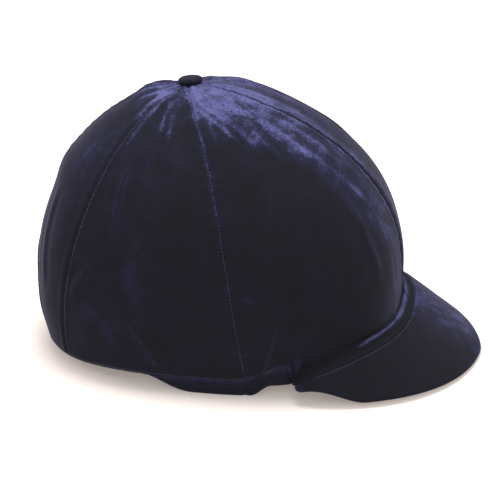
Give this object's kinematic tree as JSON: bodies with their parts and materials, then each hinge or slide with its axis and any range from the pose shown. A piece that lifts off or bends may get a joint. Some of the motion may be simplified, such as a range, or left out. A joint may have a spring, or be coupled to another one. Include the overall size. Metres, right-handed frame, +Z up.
{
  "type": "riding helmet",
  "caption": "Riding skull cap with foam liner, padding and chin harness, under a lift-off six-panel velvet cover with a stiffened peak, a covered button and an elastic hem.",
  "frame": {"origin": "on the surface that the helmet stands on, under the middle of its whole length and width", "axes": "+Z up, the peak points to -Y, the wearer's right is -X"},
  "size_m": [0.2366, 0.3416, 0.206],
  "materials": {
    "shell": "moulded glass-fibre reinforced resin, smooth",
    "edge_rubber": "extruded rubber, satin",
    "liner_foam": "expanded polystyrene with a fine bead pattern",
    "pad_cloth": "brushed nylon over soft foam",
    "hook_tape": "woven hook tape",
    "rivet_steel": "nickel-plated steel",
    "hanger_nylon": "moulded nylon, fine texture",
    "webbing": "woven polyester webbing",
    "chin_leather": "soft leather over foam, stitched",
    "velvet": "cotton velvet, dark navy, crushed in places",
    "elastic": "covered elastic cord",
    "board": "polyethylene board",
    "peak_cloth": "plain woven lining"
  },
  "bodies": {
    "skull_cap": {"outer_shell": "shell", "rim_beading": "edge_rubber", "impact_liner": "liner_foam", "crown_pad": "pad_cloth", "forehead_pad": "pad_cloth", "nape_lining_pad": "pad_cloth", "temple_pads": "pad_cloth", "pad_hook_tapes": "hook_tape", "harness_rivets": "rivet_steel", "rivet_washers": "rivet_steel", "strap_hangers": "hanger_nylon"},
    "cover": {"panel_front_right": "velvet", "panel_side_right": "velvet", "panel_rear_right": "velvet", "panel_front_left": "velvet", "panel_side_left": "velvet", "panel_rear_left": "velvet", "hem_band": "velvet", "hem_elastic": "elastic", "crown_button": "velvet", "button_back": "rivet_steel", "peak_board": "board", "peak_top_cover": "velvet", "peak_lining": "peak_cloth", "peak_welt": "velvet"},
    "harness_left": {"front_strap_left": "webbing", "rear_strap_left": "webbing", "ear_slider_left": "hanger_nylon", "chin_strap": "webbing", "buckle_tongue": "hanger_nylon"},
    "chin_cup": {"chin_pad": "chin_leather"},
    "keeper": {"strap_keeper": "webbing"},
    "harness_right": {"front_strap_right": "webbing", "rear_strap_right": "webbing", "ear_slider_right": "hanger_nylon", "buckle_strap": "webbing", "buckle_socket": "hanger_nylon"},
    "nape_harness": {"nape_straps": "webbing", "nape_pad": "chin_leather"}
  },
  "joints": [
    {"name": "cover_lift", "type": "slide", "parent": "skull_cap", "child": "cover", "axis": [0, 0, 1], "range_m": [0, 0.25], "deforming": ["panel_front_right", "panel_side_right", "panel_rear_right", "panel_front_left", "panel_side_left", "panel_rear_left", "hem_band", "hem_elastic"]},
    {"name": "harness_left_swing", "type": "hinge", "parent": "skull_cap", "child": "harness_left", "pos_m": [0.0768, 0.03148, 0.016], "axis": [0, -1, 0], "range_deg": [0, 160]},
    {"name": "harness_right_swing", "type": "hinge", "parent": "skull_cap", "child": "harness_right", "pos_m": [-0.0768, 0.03148, 0.016], "axis": [0, 1, 0], "range_deg": [0, 160]},
    {"name": "nape_swing", "type": "hinge", "parent": "skull_cap", "child": "nape_harness", "pos_m": [0, 0.12427, 0.016], "axis": [1, 0, 0], "range_deg": [0, 160]},
    {"name": "chin_pad_slide", "type": "slide", "parent": "harness_left", "child": "chin_cup", "axis": [-0.342, 0, 0.9397], "range_m": [-0.0015, 0.004]},
    {"name": "keeper_slide", "type": "slide", "parent": "harness_left", "child": "keeper", "axis": [-0.342, 0, 0.9397], "range_m": [-0.002, 0.002]}
  ]
}
